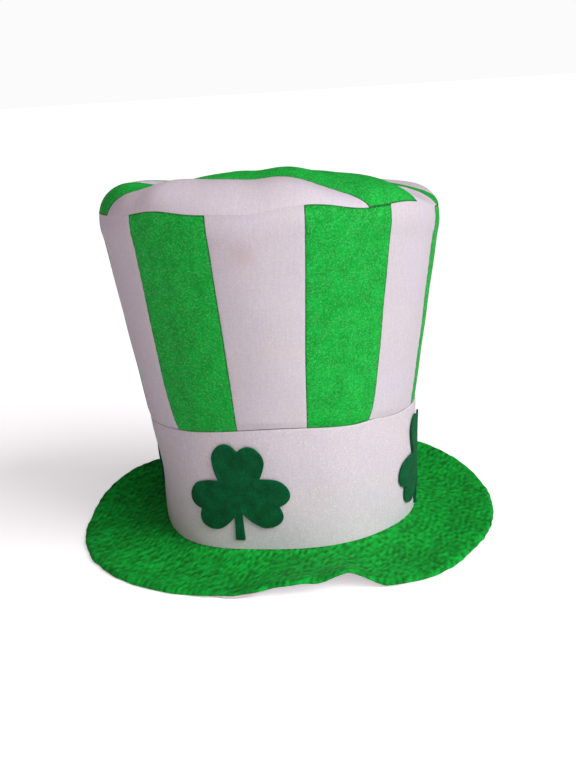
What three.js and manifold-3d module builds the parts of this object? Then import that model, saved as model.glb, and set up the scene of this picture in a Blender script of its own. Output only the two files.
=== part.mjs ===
// A soft striped top hat for a costume: a flared crown of twelve sewn panels, a puffed top of six strips,
// a wide band with four felt shamrocks, and a wavy brim of two layers of cloth.
// Millimetres, +Z up. The origin is on the table under the middle of the whole outline, and the front of the
// hat faces -Y. Angles go round the crown's axis in degrees, from 0 at the front towards +X.

import * as THREE from 'three';
import { mergeVertices } from 'three/addons/utils/BufferGeometryUtils.js';
import Module from 'manifold-3d';

const wasm = await Module();
wasm.setup();

// Thickness of each cloth, and the gap that sewn pieces keep
const crown_cloth = 2.0;
const top_cloth = 2.0;
const band_cloth = 1.6;
const brim_green_cloth = 2.0;
const brim_white_cloth = 1.6;
const felt = 1.5;
const seam_gap = 0.3;

// Where the axis of the crown stands, a little off the middle of the brim, which is cut unevenly
const crown_axis = [1, 0];

// The band, which sets the head size. It leans out a little from its foot to its top.
const band_foot_radius = 94.5;
const band_top_radius = 97;
const band_top_height = 88;
const band_waist = 2.4;

// The crown's wall
const panel_count = 12;
const foot_height = 9;
const rim_height = 236;
const rim_radius = 119.1;
const cone_top_radius = 117.4;
const cone_end_below_rim = 20;
const shoulder_swell = 1.2;
const band_bulge_height = 5;
const band_bulge = 1;
const panel_puff = 0.8;
const wall_dent_depth = 1.4;
const foot_sway = 2.5;

// The puffed top
const stripe_turn = 3;
const top_seam_height = 19.7;
const top_fullness = 8;
const top_fullness_lean = 3.2;
const top_edge_power = 0.7;
const top_back_fall = 0.75;

// The brim
const brim_mean_radius = 154;
const brim_bulge = 8;
const brim_land_width = 1;
const brim_touch_share = 0.65;
const brim_settle = 1;
const brim_lift_power = 1.5;
const brim_lift = 17;

// The shamrocks
const shamrock_width = 67;
const shamrock_height = 65;
const shamrock_centre_height = 50.2;
const stem_width = 6.4;
const stem_neck = 0.7;

// Steps of the facets
const panel_columns = 6;
const stripe_columns = 14;
const stripe_rows = 4;
const band_rows = 3;
const brim_slope_rows = [0, 0.28, 0.62, 1];
const leaf_sides = 6;
const shell_steps = 6;
const weld_distance = 1e-4;

// Waves round the hat, each a smooth swelling: where it is and how far it reaches each way in degrees, and
// its lift as a share of the named height that it follows
const rim_wave_height = 5;
const rim_waves = [
  { at: -19, reach: 16, lift: 0.47 },
  { at: -12, reach: 45, lift: 0.7 },
  { at: 31, reach: 21, lift: 1.17 },
  { at: 68, reach: 17, lift: 0.11 },
  { at: 100, reach: 38, lift: -1.88 },
  { at: 230, reach: 70, lift: -0.5 },
];
const band_wave_height = 5.5;
const band_waves = [
  { at: 15, reach: 90, lift: 0.64 },
  { at: 15, reach: 45, lift: 0.56 },
  { at: 60, reach: 14, lift: 0.27 },
  { at: 200, reach: 80, lift: 0.4 },
];
const brim_waves = [
  { at: 21, reach: 20, lift: 0.58 },
  { at: 33.7, reach: 10, lift: 0.57 },
  { at: 158, reach: 50, lift: 0.95 },
  { at: 250, reach: 46, lift: 0.86 },
];

// Where the brim was cut wider or narrower than a circle
const brim_bulges = [
  { at: -72, reach: 32, lift: -0.22 },
  { at: -24, reach: 32, lift: 0.46 },
  { at: 54, reach: 22, lift: 1.0 },
  { at: 98, reach: 28, lift: -0.47 },
  { at: 180, reach: 60, lift: 0.1 },
];

// Dents and bulges of the crown's foot, which fade out at the band's top
const foot_dent_depth = 4;
const foot_dents = [
  { at: -60, reach: 32, lift: -1.0 },
  { at: -20, reach: 24, lift: 0.6 },
  { at: 10, reach: 20, lift: -0.35 },
  { at: 45, reach: 25, lift: 0.35 },
  { at: 112, reach: 45, lift: -0.35 },
];

// Where the band is pressed in between its foot and its top, and where the wall is over the band
const waist_dents = [{ at: -62, reach: 38, lift: -1.0 }];
const wall_dents = [{ at: 103, reach: 45, lift: -1.0 }];

// How far the seams of the panels stray at their foot, as a share of foot_sway degrees
const seam_sways = [
  { at: -14, reach: 46, lift: 0.96 },
  { at: 55, reach: 40, lift: -1.1 },
];

// Strips of the top from front to back: the colour, and the height of the ridge over the seams as a share
// of the height of the seams
const top_strips = [
  { colour: 'white', ridge: 0.12 },
  { colour: 'green', ridge: 0.18 },
  { colour: 'white', ridge: -0.3 },
  { colour: 'green', ridge: 0.15 },
  { colour: 'white', ridge: 0.15 },
  { colour: 'green', ridge: 0.1 },
];

// Dents of the puffed top: the middle of each across and along the strips and its reach as shares of the
// rim's radius, and its depth as a share of the height of the seams
const top_dents = [
  { across: -0.42, along: -0.38, reach: 0.42, depth: 0.42 },
  { across: -0.68, along: 0.55, reach: 0.35, depth: 0.25 },
  { across: -0.05, along: 0.75, reach: 0.45, depth: 0.22 },
  { across: 0.05, along: -0.52, reach: 0.45, depth: 0.22 },
  { across: 0.5, along: 0.65, reach: 0.5, depth: 0.25 },
];

// Rows up the crown's wall: which level the row is measured from, and the way to the next level as a share
const wall_rows = [
  { level: 'foot', share: 0 },
  { level: 'foot', share: 1 / 3 },
  { level: 'foot', share: 2 / 3 },
  { level: 'band', share: 0 },
  { level: 'bulge', share: 0 },
  { level: 'bulge', share: 0.5 },
  { level: 'shoulder', share: 0 },
  { level: 'shoulder', share: 0.5 },
  { level: 'shoulder', share: 0.8 },
  { level: 'rim', share: 0 },
];

// Leaves of the shamrock: the turn of each, and its reach and half width as shares of the shamrock's width
const leaves = [
  { turn: -5, reach: 0.468, half_width: 0.272 },
  { turn: 116, reach: 0.468, half_width: 0.264 },
  { turn: -109, reach: 0.468, half_width: 0.264 },
];

// Curve of half a leaf, from its point at the shamrock's middle to its shallow notch: the ends and handles
// of two Bezier curves, as shares of the leaf's half width and of its reach
const leaf_curve = [
  { across: 0, out: -0.06 },
  { across: 0.575, out: -0.05 },
  { across: 0.99, out: 0.44 },
  { across: 1, out: 0.74 },
  { across: 1, out: 0.93 },
  { across: 0.49, out: 1.29 },
  { across: 0, out: 0.94 },
];

// The shamrocks round the band: the angle of each, and how much higher it sits as a share of its height
const shamrocks = [
  { side: 'front', at: -1.2, raise: 0 },
  { side: 'right', at: 94.5, raise: -0.06 },
  { side: 'back', at: 180, raise: 0 },
  { side: 'left', at: 270, raise: 0 },
];

// Sizes that follow from the ones above
const full_turn = 360;
const half_turn = full_turn / 2;
const radians = Math.PI / half_turn;
const behind_band = band_cloth + seam_gap;
const brim_stack = brim_green_cloth + seam_gap + brim_white_cloth;
const panel_angle = full_turn / panel_count;
const ring_columns = panel_count * panel_columns;
const angle_step = full_turn / ring_columns;
const stripe_count = top_strips.length;

const colours = {
  green: { color: 0x0fa03a, roughness: 0.6, metalness: 0.15 },
  white: { color: 0xd9d0da, roughness: 0.65, metalness: 0.05 },
  brim_green: { color: 0x0b9636, roughness: 0.7, metalness: 0.1 },
  felt: { color: 0x0a5a38, roughness: 0.95, metalness: 0 },
};

const hat = new THREE.Group();

function addPiece(name, geometry, colour) {
  const piece = new THREE.Mesh(geometry, new THREE.MeshStandardMaterial(colours[colour]));
  piece.name = name;
  hat.add(piece);
  return piece;
}

// A list of count + 1 numbers spaced evenly from one value to the other
function spaced(from, to, count) {
  return Array.from({ length: count + 1 }, (_, i) => from + (to - from) * i / count);
}

function mix(from, to, share) {
  return from + (to - from) * share;
}

// The sum of the waves at an angle, each a squared cosine that is 1 at its middle and 0 at its reach
function waveAt(waves, angle) {
  return waves.reduce((sum, wave) => {
    const away = Math.abs(((angle - wave.at + full_turn + half_turn) % full_turn) - half_turn);
    const swell = away < wave.reach ? Math.cos(away / wave.reach * Math.PI / 2) ** 2 : 0;
    return sum + wave.lift * swell;
  }, 0);
}

function place(angle, radius, height) {
  const [x, y] = crown_axis;
  return [x + radius * Math.sin(angle * radians), y - radius * Math.cos(angle * radians), height];
}

// A closed wall from two grids of points, the outer face and the inner face. Rows run upwards or inwards
// and columns anticlockwise seen from outside. A ring joins its last column to its first.
function wallBetween(outer, inner, ring = false) {
  const rows = outer.length;
  const columns = outer[0].length;
  const corner = (layer, row, column) => (layer * rows + row) * columns + column % columns;
  const points = [...outer.flat(), ...inner.flat()].flat();
  const faces = [];
  const addQuad = (a, b, c, d) => faces.push(a, b, c, a, c, d);
  const spans = ring ? columns : columns - 1;
  for (let row = 0; row < rows - 1; row += 1) {
    for (let column = 0; column < spans; column += 1) {
      addQuad(corner(0, row, column), corner(0, row, column + 1), corner(0, row + 1, column + 1),
        corner(0, row + 1, column));
      addQuad(corner(1, row, column), corner(1, row + 1, column), corner(1, row + 1, column + 1),
        corner(1, row, column + 1));
    }
    if (!ring) {
      addQuad(corner(0, row, 0), corner(0, row + 1, 0), corner(1, row + 1, 0), corner(1, row, 0));
      addQuad(corner(0, row, spans), corner(1, row, spans), corner(1, row + 1, spans),
        corner(0, row + 1, spans));
    }
  }
  for (let column = 0; column < spans; column += 1) {
    addQuad(corner(0, 0, column), corner(1, 0, column), corner(1, 0, column + 1), corner(0, 0, column + 1));
    addQuad(corner(0, rows - 1, column), corner(0, rows - 1, column + 1), corner(1, rows - 1, column + 1),
      corner(1, rows - 1, column));
  }
  const geometry = new THREE.BufferGeometry();
  geometry.setAttribute('position', new THREE.BufferAttribute(new Float32Array(points), 3));
  geometry.setIndex(faces);
  return geometry;
}

// Heights of the levels that the crown's wall passes at an angle
function bandTop(angle) {
  return band_top_height + band_wave_height * waveAt(band_waves, angle);
}

function rimTop(angle) {
  return rim_height + rim_wave_height * waveAt(rim_waves, angle);
}

function wallHeight(row, angle) {
  const levels = {
    foot: foot_height + seam_gap,
    band: bandTop(angle) + seam_gap,
    bulge: bandTop(angle) + band_bulge_height,
    shoulder: rimTop(angle) - cone_end_below_rim,
    rim: rimTop(angle),
  };
  const names = Object.keys(levels);
  const next = names[Math.min(names.indexOf(row.level) + 1, names.length - 1)];
  return mix(levels[row.level], levels[next], row.share);
}

// Outer radius of the band, from its dented foot through its waist to its round top
function bandRadius(share, angle) {
  const foot = band_foot_radius + foot_dent_depth * waveAt(foot_dents, angle);
  const waist = band_waist * waveAt(waist_dents, angle) * Math.sin(Math.PI * share) ** 2;
  return mix(foot, band_top_radius, share) + waist;
}

// Angle of a seam or a column at a row: it strays most behind the band, and not at all at the rim
function strayed(row, angle) {
  const up = (wallHeight(row, angle) - foot_height) / (rimTop(angle) - foot_height);
  return angle + foot_sway * waveAt(seam_sways, angle) * (1 - up);
}

// Depth of the dent in the crown's wall and rim at an angle
function wallDent(angle) {
  return wall_dent_depth * waveAt(wall_dents, angle);
}

// Outer radius of the wall: close behind the band, a quick bulge over it, a straight flare, and a shoulder
// that swells a little before it meets the rim. Each panel puffs between its seams.
function wallRadius(row, angle) {
  const across = ((angle % panel_angle) + panel_angle) % panel_angle / panel_angle;
  const puff = panel_puff * Math.sin(Math.PI * across);
  if (row.level === 'foot') {
    return bandRadius(row.share, strayed(row, angle)) - behind_band;
  }
  if (row.level === 'band') {
    return band_top_radius - behind_band;
  }
  if (row.level === 'bulge') {
    return mix(band_top_radius + band_bulge, cone_top_radius, row.share) + puff + wallDent(angle);
  }
  if (row.level === 'shoulder') {
    const swell = shoulder_swell * Math.sin(Math.PI * row.share);
    return mix(cone_top_radius, rim_radius, row.share) + swell + puff * (1 - row.share) + wallDent(angle);
  }
  return rim_radius + wallDent(angle);
}

function crownPanel(index) {
  const start = index * panel_angle;
  const trim = seam_gap / 2 / band_foot_radius / radians;
  const angles = spaced(start, start + panel_angle, panel_columns);
  angles[0] += trim;
  angles[angles.length - 1] -= trim;
  const face = (inset) => wall_rows.map((row) => angles.map((angle) => place(
    strayed(row, angle),
    wallRadius(row, angle) - inset,
    wallHeight(row, angle),
  )));
  return wallBetween(face(0), face(crown_cloth));
}

// Height that the cloth of the top would have over the rim if it didn't round down to it, at a place across
// the strips and along them, both as shares of the edge's radius: each strip rises or sinks between its
// seams, dents sink in, and the back half falls.
function looseHeight(across, along) {
  const place_across = (across + 1) / 2 * stripe_count;
  const index = Math.min(Math.max(Math.floor(place_across), 0), stripe_count - 1);
  const swell = Math.sin(Math.PI * Math.min(Math.max(place_across - index, 0), 1));
  const dent = top_dents.reduce((sum, row) => {
    const away = Math.min(Math.hypot(across - row.across, along - row.along) / row.reach, 1);
    return sum + row.depth * Math.cos(away * Math.PI / 2) ** 2;
  }, 0);
  const fall = 1 - top_back_fall * (1 - (1 - Math.max(across, 0)) ** 2);
  return top_seam_height * (1 + top_strips[index].ridge * swell - dent) * fall;
}

// How much of that height is left on the way out to the rim, more squarely on the left than on the right
function rounding(out, along) {
  return (1 - out ** (top_fullness - top_fullness_lean * along)) ** top_edge_power;
}

// A point of the top: across and along the strips, on the face at an inset from the outer one. The rim's
// waves fade from the rim to the middle.
function topPoint(across, along, edge_radius, inset) {
  const out = Math.min(Math.hypot(across, along) / edge_radius, 1);
  const angle = Math.atan2(along, -across) / radians + stripe_turn;
  const rim = mix(rim_height, rimTop(angle), out);
  const loose = looseHeight(across / edge_radius, along / edge_radius) - inset;
  const height = rim + seam_gap + loose * rounding(out, along / edge_radius);
  return place(angle, Math.hypot(across, along) + wallDent(angle) * out, height);
}

function topStripe(index) {
  const width = 2 * rim_radius / stripe_count;
  const near = -rim_radius + width * index + seam_gap / 2;
  const far = near + width - seam_gap;
  const first = index === 0;
  const last = index === stripe_count - 1;
  const seam = first ? far : near;
  const tip_angle = Math.acos((Math.abs(seam) + top_cloth) / rim_radius);
  const face = (inset) => {
    const edge_radius = rim_radius - inset;
    const edgeAlong = (across) => Math.sqrt(edge_radius ** 2 - across ** 2);
    return spaced(0, 1, stripe_rows).map((row) => spaced(-1, 1, stripe_columns).map((column) => {
      if (first || last) {
        const along = edge_radius * Math.sin(column * tip_angle);
        const edge = edge_radius * Math.cos(column * tip_angle);
        const across = first ? mix(-edge, seam, row) : mix(seam, edge, row);
        return topPoint(across, along, edge_radius, inset);
      }
      const across = mix(near, far, row);
      const along = edgeAlong(across) * Math.sin(column * Math.PI / 2);
      return topPoint(across, along, edge_radius, inset);
    }));
  };
  return wallBetween(face(0), face(top_cloth));
}

function hatBand() {
  const angles = spaced(0, full_turn - angle_step, ring_columns - 1);
  const bottom = foot_height + seam_gap;
  const face = (inset) => spaced(0, 1, band_rows).map((share) => angles.map((angle) => place(
    angle,
    bandRadius(share, angle) - inset,
    mix(bottom, bandTop(angle), share),
  )));
  return wallBetween(face(0), face(band_cloth), true);
}

// Outline of the brim: round, but for where it was cut wider or narrower
function brimRadius(angle) {
  return brim_mean_radius + brim_bulge * waveAt(brim_bulges, angle);
}

// Lift of the brim's edge off the table. The lowest of the waves are pressed flat by the hat's weight.
function edgeLift(angle) {
  return Math.max(0, brim_lift * waveAt(brim_waves, angle) - brim_settle);
}

// Height of the underside: level under the band, sloping down to the table, and lifted where the edge waves
function undersideHeight(share, angle) {
  const slope = Math.max(0, 1 - share / brim_touch_share) ** 2;
  return (foot_height - brim_stack) * slope + edgeLift(angle) * share ** brim_lift_power;
}

function brimLayer(bottom_above, cloth) {
  const angles = spaced(0, full_turn - angle_step, ring_columns - 1);
  const shares = [...brim_slope_rows.map((row) => row * brim_touch_share), 1];
  const face = (above) => [null, ...shares].map((share) => angles.map((angle) => {
    const foot = bandRadius(0, angle);
    if (share === null) {
      return place(angle, foot - behind_band - crown_cloth, undersideHeight(0, angle) + above);
    }
    const radius = mix(foot + brim_land_width, brimRadius(angle), share);
    return place(angle, radius, undersideHeight(share, angle) + above);
  }));
  return wallBetween(face(bottom_above), face(bottom_above + cloth), true);
}

// Solid of the manifold library from a three.js geometry
function toSolid(geometry) {
  const bare = geometry.clone();
  bare.deleteAttribute('normal');
  bare.deleteAttribute('uv');
  const merged = mergeVertices(bare, weld_distance);
  return new wasm.Manifold(new wasm.Mesh({
    numProp: 3,
    vertProperties: new Float32Array(merged.attributes.position.array),
    triVerts: new Uint32Array(merged.index.array),
  }));
}

function toGeometry(solid) {
  const mesh = solid.getMesh();
  const geometry = new THREE.BufferGeometry();
  geometry.setAttribute('position', new THREE.BufferAttribute(new Float32Array(mesh.vertProperties), 3));
  geometry.setIndex(Array.from(mesh.triVerts));
  return geometry;
}

// Outline of one heart-shaped leaf: up its right half to the notch, and back down the mirrored half
function leafShape(leaf) {
  const half_width = leaf.half_width * shamrock_width;
  const reach = leaf.reach * shamrock_width;
  const at = (row, way) => [way * row.across * half_width, row.out * reach];
  const [point, near, low, wide, high, lobe, notch] = leaf_curve;
  const shape = new THREE.Shape();
  shape.moveTo(...at(point, 1));
  shape.bezierCurveTo(...at(near, 1), ...at(low, 1), ...at(wide, 1));
  shape.bezierCurveTo(...at(high, 1), ...at(lobe, 1), ...at(notch, 1));
  shape.bezierCurveTo(...at(lobe, -1), ...at(high, -1), ...at(wide, -1));
  shape.bezierCurveTo(...at(low, -1), ...at(near, -1), ...at(point, 1));
  return shape;
}

// The stem runs down from the middle and widens a little at its foot
function stemShape() {
  const half = stem_width / 2;
  const foot = shamrock_height - leaves[0].reach * shamrock_width;
  const shape = new THREE.Shape();
  shape.moveTo(-stem_neck * half, 0);
  shape.lineTo(-half, -foot);
  shape.lineTo(half, -foot);
  shape.lineTo(stem_neck * half, 0);
  shape.closePath();
  return shape;
}

// A shamrock is its flat outline pushed through a thin shell of felt that lies on the band
function shamrockAt(at, raise) {
  const prism = (shape, turn) => {
    const geometry = new THREE.ExtrudeGeometry(shape, {
      depth: band_top_radius, bevelEnabled: false, curveSegments: leaf_sides,
    });
    geometry.rotateZ(turn * radians);
    geometry.rotateX(Math.PI / 2);
    geometry.translate(0, -band_foot_radius / 2, shamrock_centre_height + raise * shamrock_height);
    geometry.rotateZ(at * radians);
    geometry.translate(...crown_axis, 0);
    return toSolid(geometry);
  };
  const outline = leaves.reduce(
    (sum, leaf) => sum.add(prism(leafShape(leaf), leaf.turn)),
    prism(stemShape(), 0),
  );
  const first = Math.round(at / angle_step) - shell_steps;
  const angles = spaced(first, first + 2 * shell_steps, 2 * shell_steps).map((step) => step * angle_step);
  const bottom = foot_height + seam_gap;
  const face = (above) => spaced(0, 1, band_rows).map((share) => angles.map((angle) => place(
    angle,
    bandRadius(share, angle) + above,
    mix(bottom, bandTop(angle), share),
  )));
  const shell = toSolid(wallBetween(face(seam_gap + felt), face(seam_gap)));
  return toGeometry(shell.intersect(outline));
}

for (let index = 0; index < panel_count; index += 1) {
  const name = `crown_panel_${String(index + 1).padStart(2, '0')}`;
  addPiece(name, crownPanel(index), index % 2 === 0 ? 'white' : 'green');
}

top_strips.forEach((strip, index) => addPiece(`top_stripe_${index + 1}`, topStripe(index), strip.colour));

addPiece('hat_band', hatBand(), 'white');

addPiece('brim_underside', brimLayer(0, brim_white_cloth), 'white');
addPiece('brim_top', brimLayer(brim_white_cloth + seam_gap, brim_green_cloth), 'brim_green');

shamrocks.forEach((row) => addPiece(`shamrock_${row.side}`, shamrockAt(row.at, row.raise), 'felt'));

export default hat;
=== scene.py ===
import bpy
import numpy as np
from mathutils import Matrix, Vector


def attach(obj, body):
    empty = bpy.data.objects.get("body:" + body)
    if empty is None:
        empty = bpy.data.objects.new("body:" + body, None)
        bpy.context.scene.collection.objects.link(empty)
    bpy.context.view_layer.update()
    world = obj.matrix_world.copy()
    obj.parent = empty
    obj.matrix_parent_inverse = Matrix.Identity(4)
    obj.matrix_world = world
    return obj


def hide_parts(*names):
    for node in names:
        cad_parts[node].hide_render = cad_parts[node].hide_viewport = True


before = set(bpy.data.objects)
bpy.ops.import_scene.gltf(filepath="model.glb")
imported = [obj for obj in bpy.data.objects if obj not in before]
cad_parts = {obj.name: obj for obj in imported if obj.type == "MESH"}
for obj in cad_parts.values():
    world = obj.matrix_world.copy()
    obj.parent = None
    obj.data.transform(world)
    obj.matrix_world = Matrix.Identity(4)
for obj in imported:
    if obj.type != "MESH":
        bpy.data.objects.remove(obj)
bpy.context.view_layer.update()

# A soft striped costume top hat: twelve wall panels, six strips of a puffed top, a band with four felt
# shamrocks, and a brim of two layers. Every piece is a closed sheet of cloth, worked out from the sizes.
# Sizes are in millimetres and angles in degrees, from 0 at the front of the hat towards +X.

mm = 0.001
full_turn = 360
half_turn = 180

# The camera, fitted to the photograph's view of the hat
camera_azimuth = 20
camera_elevation = 14
camera_distance = 892.8
camera_target_height = 101.06
camera_roll = 3.82
camera_lens = 57.18
camera_sensor = 36
camera_shift = 0.01
camera_near = 50

# The studio: soft lights from far away, each with its direction, and an even light from all round
lights = [
    {"name": "key", "turn": 75, "lift": 35, "energy": 2.0, "colour": "#fcfdff", "spread": 40},
    {"name": "high", "turn": 50, "lift": 62, "energy": 0.5, "colour": "#ffffff", "spread": 50},
    {"name": "front", "turn": 36, "lift": 25, "energy": 0.85, "colour": "#fffaf4", "spread": 60},
    {"name": "left_fill", "turn": -60, "lift": 25, "energy": 0.1, "colour": "#ff90c8", "spread": 60},
]
ambient_colour = "#f4b8dc"
ambient_strength = 0.07
floor_glow = 0.45
floor_reach = 30000

# Thickness of each cloth, and the gap that pieces fixed to each other keep
crown_cloth = 2.0
top_cloth = 2.0
band_cloth = 1.6
brim_green_cloth = 2.0
brim_white_cloth = 1.6
felt = 1.5
seam_gap = 0.3
behind_band = band_cloth + seam_gap
brim_stack = brim_green_cloth + seam_gap + brim_white_cloth

# Where the axis of the crown stands, a little off the middle of the brim, which is cut unevenly
crown_axis = (1, 0)

# The band
band_foot_radius = 94.5
band_top_radius = 97
band_top_height = 88
band_waist = 2.4

# The crown's wall, which comes out over the band's edge by a quick step and a slower bulge
panel_count = 12
panel_angle = full_turn / panel_count
foot_height = 9
rim_height = 236
rim_radius = 119.1
cone_top_radius = 117.4
cone_end_below_rim = 20
shoulder_swell = 1.2
band_step_height = 0.6
band_step = -0.2
band_bulge_height = 5
band_bulge = 1
panel_puff = 0.8
wall_dent_depth = 1.4
foot_sway = 2.5

# The puffed top. Its first and last strip stop a little short of their tips, the puff adds to the flat area
# of a strip, and it is sewn to the wall panels all round.
stripe_turn = 3
top_seam_height = 19.7
top_fullness = 8
top_fullness_lean = 3.2
top_edge_power = 0.7
top_back_fall = 0.75
crescent_tip = 0.2

# The brim, which lifts no more past the last share of its way out
brim_mean_radius = 154
brim_bulge = 8
brim_land_width = 1
brim_touch_share = 0.65
brim_settle = 1
brim_lift_power = 1.5
brim_lift = 17
brim_hem = 3.2
brim_hem_roll = 2.4
brim_cut_pitch = 13
brim_cut_error = 0.45
brim_share_end = 1.02

# The shamrocks. The grid is finer within an angle of the stem, and the felt lifts off a little at its edge
# and is fluffy.
shamrock_width = 67
shamrock_height = 65
shamrock_centre_height = 50.2
stem_width = 6.4
stem_neck = 0.7
stem_half_angle = 12
stem_columns = 73
felt_lift = 0.25
felt_lift_power = 4
felt_lift_pitch = 24
felt_fluff = 0.06
felt_fluff_pitch = 3.2

# Edges of the cloth: where it is sewn its outer face rolls a little way in, and where it is cut or folded
# it rolls to the middle. The sinks are shares of the thickness, and foot_rest is the gap to what an edge
# rests on. roll_places are the rows of the grid inside a rolled edge, as shares of it.
seam_roll = 0.7
seam_sink = 0.08
cut_roll = 0.5
cut_sink = 0.5
fold_roll = 0.6
foot_rest = 0.05
roll_places = (0, 0.04, 0.14, 0.32, 0.6)

# How strongly the metallic thread shimmers, more on the band than on the panels: its flecks are lighter in
# the colour, partly the thread's own colour and partly painted glints
panel_shimmer = 0.35
band_shimmer = 0.75

# Handling of the cloth: valleys along seams, a welt along the rim's seam, puckers beside seams, and slack
seam_valley_width = 2.0
seam_valley_depth = 0.15
welt_height = 0.3
welt_width = 1.7
pucker_pitch = 7.5
pucker_reach = 6.0
pucker_height = 0.1
pucker_wander = 3
pucker_wander_pitch = 60
slack_pitch = 48
slack_height = 0.4
brim_slack_pitch = 16
brim_slack_share = 0.5
nap_pitch = 3.2
nap_height = 0.2
nap_way = (1, 0.45, 1)
nap_waves = 48

# How fast slack sets in from the edges of the band and of the top
band_slack_rise = 12
top_slack_rise = 8

# Relief is a sum of waves whose lengths are these shares of its pitch, brought to about 1 by its scale
relief_lengths = (0.7, 1.5)
relief_scale = 0.75

# Steps of the grids
fine_step = 1.7
band_row_step = fine_step * 1.3
brim_step = 1.2
step_rows = 9
ring_columns = 420
brim_columns = 780
stripe_columns = 170
curve_places = 40
stem_places = 200
leaf_columns = 300
leaf_rings = 16
leaf_inner_share = 0.9
leaf_rim_places = (0.94, 0.97, 0.985, 0.995, 1)

# Waves round the hat, each a smooth swelling: where it is, how far it reaches each way, and its lift as a
# share of the named size that it follows
rim_wave_height = 5
rim_waves = [
    {"at": -19, "reach": 16, "lift": 0.47},
    {"at": -12, "reach": 45, "lift": 0.7},
    {"at": 31, "reach": 21, "lift": 1.17},
    {"at": 68, "reach": 17, "lift": 0.11},
    {"at": 100, "reach": 38, "lift": -1.88},
    {"at": 230, "reach": 70, "lift": -0.5},
]
band_wave_height = 5.5
band_waves = [
    {"at": 15, "reach": 90, "lift": 0.64},
    {"at": 15, "reach": 45, "lift": 0.56},
    {"at": 60, "reach": 14, "lift": 0.27},
    {"at": 200, "reach": 80, "lift": 0.4},
]
brim_waves = [
    {"at": 21, "reach": 20, "lift": 0.58},
    {"at": 33.7, "reach": 10, "lift": 0.57},
    {"at": 158, "reach": 50, "lift": 0.95},
    {"at": 250, "reach": 46, "lift": 0.86},
]
brim_bulges = [
    {"at": -72, "reach": 32, "lift": -0.22},
    {"at": -24, "reach": 32, "lift": 0.46},
    {"at": 54, "reach": 22, "lift": 1.0},
    {"at": 98, "reach": 28, "lift": -0.47},
    {"at": 180, "reach": 60, "lift": 0.1},
]
foot_dent_depth = 4
foot_dents = [
    {"at": -60, "reach": 32, "lift": -1.0},
    {"at": -20, "reach": 24, "lift": 0.6},
    {"at": 10, "reach": 20, "lift": -0.35},
    {"at": 45, "reach": 25, "lift": 0.35},
    {"at": 112, "reach": 45, "lift": -0.35},
]
waist_dents = [{"at": -62, "reach": 38, "lift": -1.0}]
wall_dents = [{"at": 103, "reach": 45, "lift": -1.0}]
seam_sways = [
    {"at": -14, "reach": 46, "lift": 0.96},
    {"at": 55, "reach": 40, "lift": -1.1},
]

# Soft upright folds of the top where it was eased into the rim
top_fold_height = 1.1
top_folds = [
    {"at": -35, "reach": 8, "lift": 1.0},
    {"at": -19.6, "reach": 8, "lift": 1.0},
    {"at": 63, "reach": 9, "lift": 0.4},
    {"at": 118, "reach": 10, "lift": 0.9},
    {"at": 196, "reach": 11, "lift": 0.9},
    {"at": 262, "reach": 10, "lift": 0.8},
]

# Where the lower layer of the brim looks out past the upper one
brim_lips = [
    {"at": 6, "reach": 12, "lift": 1.2},
    {"at": 33, "reach": 3, "lift": 0.6},
    {"at": 205, "reach": 24, "lift": 0.8},
]

# How single seams bow, in degrees: right over the band, and halfway up the wall
seam_bows = [
    {"at": -30, "reach": 15, "low": 0.9, "middle": -2.4},
    {"at": 30, "reach": 15, "low": -0.9, "middle": -0.8},
    {"at": 60, "reach": 15, "low": -2.4, "middle": 0.4},
    {"at": 150, "reach": 15, "low": 0.8, "middle": 1.1},
    {"at": 240, "reach": 15, "low": -0.9, "middle": -1.3},
]
bow_fade = 0.08

# Soft hollows of the wall: the middle of each, its reach each way and how far it sinks in
wall_hollows = [
    {"angle": -18, "height": 230, "across": 15, "up": 15, "sink": 0.9},
    {"angle": 46, "height": 230, "across": 16, "up": 13, "sink": 0.5},
    {"angle": -25, "height": 155, "across": 11, "up": 50, "sink": 1.4},
    {"angle": 63, "height": 115, "across": 10, "up": 26, "sink": 0.6},
    {"angle": 135, "height": 226, "across": 16, "up": 15, "sink": 0.7},
    {"angle": 170, "height": 150, "across": 12, "up": 50, "sink": 0.7},
    {"angle": 225, "height": 120, "across": 14, "up": 30, "sink": 0.8},
]

# Soft ridges that wander down the cloth, from one place to the next: one down the green panel on the left,
# and one down the left of the band
wall_ridge = {
    "heights": [90, 100, 120, 140, 165, 190, 215, 238],
    "angles": [-8, -11, -15, -13, -14, -17, -14, -7],
    "rise": 2.0,
    "width": 12,
}
band_ridge = {"heights": [20, 45, 68, 88], "angles": [-48, -39, -33, -28], "rise": 2.2, "width": 11}

# Strips of the top from front to back: the cloth, and the height of the ridge over the seams as a share
top_strips = [
    {"colour": "white", "ridge": 0.12},
    {"colour": "green", "ridge": 0.18},
    {"colour": "white", "ridge": -0.3},
    {"colour": "green", "ridge": 0.15},
    {"colour": "white", "ridge": 0.15},
    {"colour": "green", "ridge": 0.1},
]
stripe_count = len(top_strips)
top_dents = [
    {"across": -0.42, "along": -0.38, "reach": 0.42, "depth": 0.42},
    {"across": -0.68, "along": 0.55, "reach": 0.35, "depth": 0.25},
    {"across": -0.05, "along": 0.75, "reach": 0.45, "depth": 0.22},
    {"across": 0.05, "along": -0.52, "reach": 0.45, "depth": 0.22},
    {"across": 0.5, "along": 0.65, "reach": 0.5, "depth": 0.42},
]

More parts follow.
